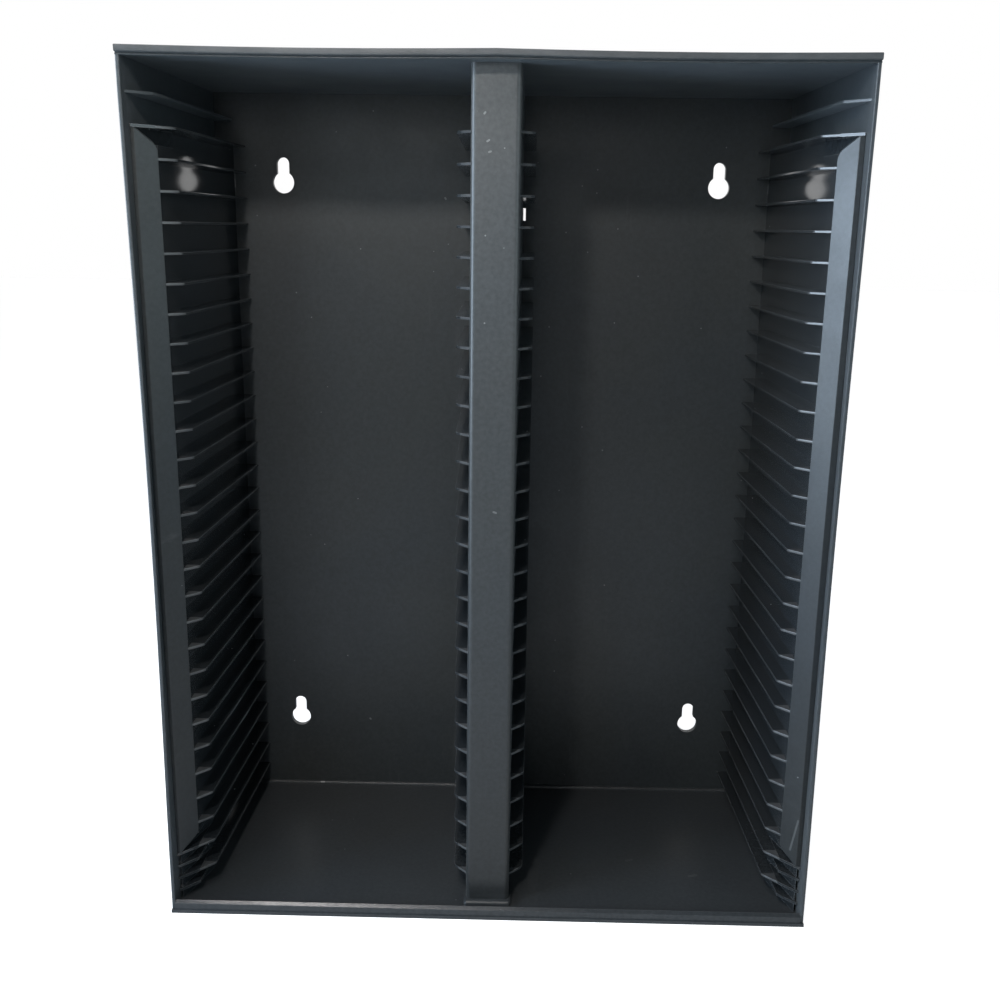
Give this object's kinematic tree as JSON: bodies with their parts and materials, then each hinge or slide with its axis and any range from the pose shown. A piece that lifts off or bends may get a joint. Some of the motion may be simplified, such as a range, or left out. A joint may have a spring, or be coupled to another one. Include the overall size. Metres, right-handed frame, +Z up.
{
  "type": "cd rack",
  "caption": "Black moulded plastic rack for two columns of compact disc cases, with ribbed slot walls, a centre divider and keyholes in the back for hanging.",
  "frame": {"origin": "under the middle of the base, on the floor", "axes": "+Z up, +X to the right of someone facing the open front, +Y from the open front to the back"},
  "size_m": [0.3042, 0.13, 0.3919],
  "materials": {
    "panel_plastic": "black injection moulded plastic, semi gloss, lightly scuffed",
    "back_plastic": "black moulded plastic sheet with a soft sheen",
    "rack_plastic": "black moulded plastic, smooth and glossy on the slot walls",
    "strip_plastic": "black moulded plastic with a fine grain on the front faces"
  },
  "bodies": {
    "root": {"top_panel": "panel_plastic", "base_panel": "panel_plastic", "back_panel": "back_plastic", "left_side_panel": "panel_plastic", "right_side_panel": "panel_plastic", "left_slot_wall": "rack_plastic", "right_slot_wall": "rack_plastic", "left_slot_ribs": "rack_plastic", "right_slot_ribs": "rack_plastic", "left_front_strip": "strip_plastic", "right_front_strip": "strip_plastic", "divider_post": "strip_plastic", "divider_left_ribs": "rack_plastic", "divider_right_ribs": "rack_plastic"}
  },
  "joints": []
}
